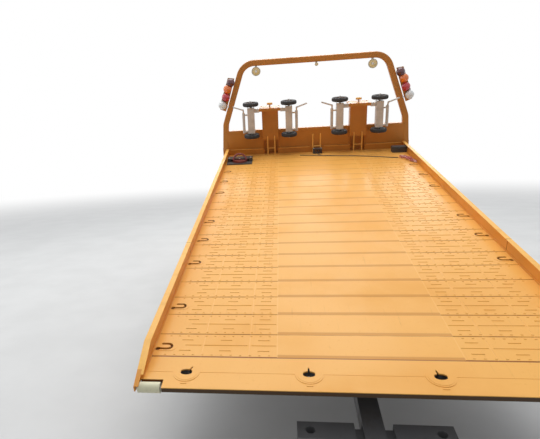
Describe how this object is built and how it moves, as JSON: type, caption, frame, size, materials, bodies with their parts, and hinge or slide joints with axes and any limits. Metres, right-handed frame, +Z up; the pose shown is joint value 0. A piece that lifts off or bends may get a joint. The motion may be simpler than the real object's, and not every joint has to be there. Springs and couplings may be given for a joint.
{
  "type": "flatbed tow truck",
  "caption": "Light cab-over flatbed tow truck with its sliding deck run back and tipped, headboard hoop, winch, under-lift and stowed wheel dollies.",
  "frame": {"origin": "on the ground, under the centre of the whole truck as it stands with the deck run back and tipped", "axes": "+X to the truck's right, +Y forward, +Z up"},
  "size_m": [2.33, 7.3336, 2.795],
  "materials": {
    "orange_paint": "glossy orange paint, weathered",
    "chassis_black": "satin black paint",
    "grey_paint": "satin grey paint",
    "wheel_paint": "satin silver paint",
    "tyre_rubber": "matt",
    "wheel_rubber": "matt",
    "window_glass": "clear, slightly green",
    "dark_plastic": "grained",
    "lamp_lens": "moulded lenses",
    "cast_iron": "dark cast and forged iron",
    "nylon": "cream nylon",
    "chrome": "hard chromed",
    "maroon_paint": "worn dark red paint",
    "tank_aluminium": "brushed"
  },
  "bodies": {
    "chassis": {"chassis_frame": "chassis_black", "cab_shell": "orange_paint", "cab_glass": "window_glass", "cab_fittings": "dark_plastic", "front_bumper": "dark_plastic", "front_lamps": "lamp_lens", "mirrors": "dark_plastic", "engine": "cast_iron", "driveline": "cast_iron", "front_axle": "cast_iron", "rear_axle": "cast_iron", "fuel_tank": "tank_aluminium", "side_boxes": "chassis_black", "side_guards": "chassis_black", "mudguards": "chassis_black", "tail_lamps": "lamp_lens"},
    "steering_wheel": {"steering_wheel": "dark_plastic"},
    "door_left": {"door_left": "orange_paint", "door_glass_left": "window_glass"},
    "door_right": {"door_right": "orange_paint", "door_glass_right": "window_glass"},
    "knuckle_left": {"knuckle_left": "cast_iron"},
    "knuckle_right": {"knuckle_right": "cast_iron"},
    "front_wheel_left": {"front_rim_left": "wheel_paint", "front_tyre_left": "tyre_rubber"},
    "front_wheel_right": {"front_rim_right": "wheel_paint", "front_tyre_right": "tyre_rubber"},
    "rear_wheels_left": {"rear_rims_left": "wheel_paint", "rear_tyres_left": "tyre_rubber"},
    "rear_wheels_right": {"rear_rims_right": "wheel_paint", "rear_tyres_right": "tyre_rubber"},
    "slider": {"tilt_frame": "chassis_black", "slide_barrel": "chassis_black"},
    "tilt_barrels": {"tilt_barrels": "chassis_black"},
    "tilt_rods": {"tilt_rods": "chrome"},
    "bed": {"bed_deck": "orange_paint", "deck_planks": "orange_paint", "lashing_planks": "orange_paint", "bed_sides": "orange_paint", "bed_frame": "chassis_black", "slide_rod": "chrome", "roller_pins": "chrome", "head_frame": "orange_paint", "head_bars": "orange_paint", "dolly_racks": "grey_paint", "bed_lamps": "lamp_lens", "winch": "chassis_black", "deck_fittings": "cast_iron", "pulley_sheave": "maroon_paint"},
    "winch_drum": {"winch_drum": "grey_paint"},
    "tail_roller_left": {"tail_roller_left": "nylon"},
    "tail_roller_right": {"tail_roller_right": "nylon"},
    "dolly_wheels_left_outer": {"dolly_wheels_left_outer": "wheel_rubber"},
    "dolly_wheels_left_inner": {"dolly_wheels_left_inner": "wheel_rubber"},
    "dolly_wheels_right_inner": {"dolly_wheels_right_inner": "wheel_rubber"},
    "dolly_wheels_right_outer": {"dolly_wheels_right_outer": "wheel_rubber"},
    "lift_boom": {"lift_boom": "chassis_black"},
    "lift_arm": {"lift_arm": "grey_paint"},
    "lift_head": {"lift_head": "grey_paint"}
  },
  "joints": [
    {"name": "steer_left", "type": "hinge", "parent": "chassis", "child": "knuckle_left", "pos_m": [-0.65, 2.6168, 0.38], "axis": [0, 0, 1], "range_deg": [-30, 30]},
    {"name": "steer_right", "type": "hinge", "parent": "chassis", "child": "knuckle_right", "pos_m": [0.65, 2.6168, 0.38], "axis": [0, 0, 1], "range_deg": [-30, 30]},
    {"name": "steering_wheel_turn", "type": "hinge", "parent": "chassis", "child": "steering_wheel", "pos_m": [-0.59, 3.0368, 1.4], "axis": [0, -0.727, 0.6866], "range_deg": [-480, 480]},
    {"name": "front_wheel_left_spin", "type": "hinge", "parent": "knuckle_left", "child": "front_wheel_left", "pos_m": [-0.765, 2.6168, 0.38], "axis": [1, 0, 0], "continuous": true},
    {"name": "front_wheel_right_spin", "type": "hinge", "parent": "knuckle_right", "child": "front_wheel_right", "pos_m": [0.765, 2.6168, 0.38], "axis": [1, 0, 0], "continuous": true},
    {"name": "rear_wheels_left_spin", "type": "hinge", "parent": "chassis", "child": "rear_wheels_left", "pos_m": [-0.76, -0.7432, 0.38], "axis": [1, 0, 0], "continuous": true},
    {"name": "rear_wheels_right_spin", "type": "hinge", "parent": "chassis", "child": "rear_wheels_right", "pos_m": [0.76, -0.7432, 0.38], "axis": [1, 0, 0], "continuous": true},
    {"name": "door_left_hinge", "type": "hinge", "parent": "chassis", "child": "door_left", "pos_m": [-0.952, 3.3938, 1.25], "axis": [0, 0, -1], "range_deg": [0, 68]},
    {"name": "door_right_hinge", "type": "hinge", "parent": "chassis", "child": "door_right", "pos_m": [0.952, 3.3938, 1.25], "axis": [0, 0, 1], "range_deg": [0, 68]},
    {"name": "bed_tilt", "type": "hinge", "parent": "chassis", "child": "slider", "pos_m": [0, -1.9932, 0.78], "axis": [1, 0, 0], "range_deg": [-14, 5]},
    {"name": "bed_slide", "type": "slide", "parent": "slider", "child": "bed", "axis": [0, -0.9703, -0.2419], "range_m": [-1.029, 1.271]},
    {"name": "tilt_barrel_swing", "type": "hinge", "parent": "chassis", "child": "tilt_barrels", "pos_m": [0, -1.4932, 0.53], "axis": [1, 0, 0], "range_deg": [-19.49, 7.6]},
    {"name": "tilt_rod_stroke", "type": "slide", "parent": "tilt_barrels", "child": "tilt_rods", "axis": [0, 0.8432, 0.5376], "range_m": [-0.1103, 0.0407]},
    {"name": "winch_drum_turn", "type": "hinge", "parent": "bed", "child": "winch_drum", "pos_m": [0, 0.67753, 1.81176], "axis": [1, 0, 0], "continuous": true},
    {"name": "tail_roller_left_spin", "type": "hinge", "parent": "bed", "child": "tail_roller_left", "pos_m": [-1.0315, -3.63625, 0.59501], "axis": [1, 0, 0], "continuous": true},
    {"name": "tail_roller_right_spin", "type": "hinge", "parent": "bed", "child": "tail_roller_right", "pos_m": [1.0315, -3.63625, 0.59501], "axis": [1, 0, 0], "continuous": true},
    {"name": "dolly_wheels_left_outer_spin", "type": "hinge", "parent": "bed", "child": "dolly_wheels_left_outer", "pos_m": [-0.762, 0.34809, 2.07487], "axis": [0, -0.2419, 0.9703], "continuous": true},
    {"name": "dolly_wheels_left_inner_spin", "type": "hinge", "parent": "bed", "child": "dolly_wheels_left_inner", "pos_m": [-0.302, 0.34809, 2.07487], "axis": [0, -0.2419, 0.9703], "continuous": true},
    {"name": "dolly_wheels_right_inner_spin", "type": "hinge", "parent": "bed", "child": "dolly_wheels_right_inner", "pos_m": [0.302, 0.34809, 2.07487], "axis": [0, -0.2419, 0.9703], "continuous": true},
    {"name": "dolly_wheels_right_outer_spin", "type": "hinge", "parent": "bed", "child": "dolly_wheels_right_outer", "pos_m": [0.762, 0.34809, 2.07487], "axis": [0, -0.2419, 0.9703], "continuous": true},
    {"name": "lift_lower", "type": "hinge", "parent": "slider", "child": "lift_boom", "pos_m": [0, -2.17516, 0.6831], "axis": [-1, 0, 0], "range_deg": [-10, 0]},
    {"name": "lift_extend", "type": "slide", "parent": "lift_boom", "child": "lift_arm", "axis": [0, 0.9703, 0.2419], "range_m": [-0.35, 0.35]},
    {"name": "lift_head_swivel", "type": "hinge", "parent": "lift_arm", "child": "lift_head", "pos_m": [0, -3.58209, 0.33231], "axis": [0, -0.2419, 0.9703], "range_deg": [-25, 25]}
  ],
  "couplings": [
    {"joint": "steer_right", "follows": "steer_left", "ratio": 1},
    {"joint": "steering_wheel_turn", "follows": "steer_left", "ratio": 16},
    {"joint": "tilt_barrel_swing", "follows": "bed_tilt", "ratio": 1.3208},
    {"joint": "tilt_rod_stroke", "follows": "bed_tilt", "m_per_rad": 0.44341}
  ]
}
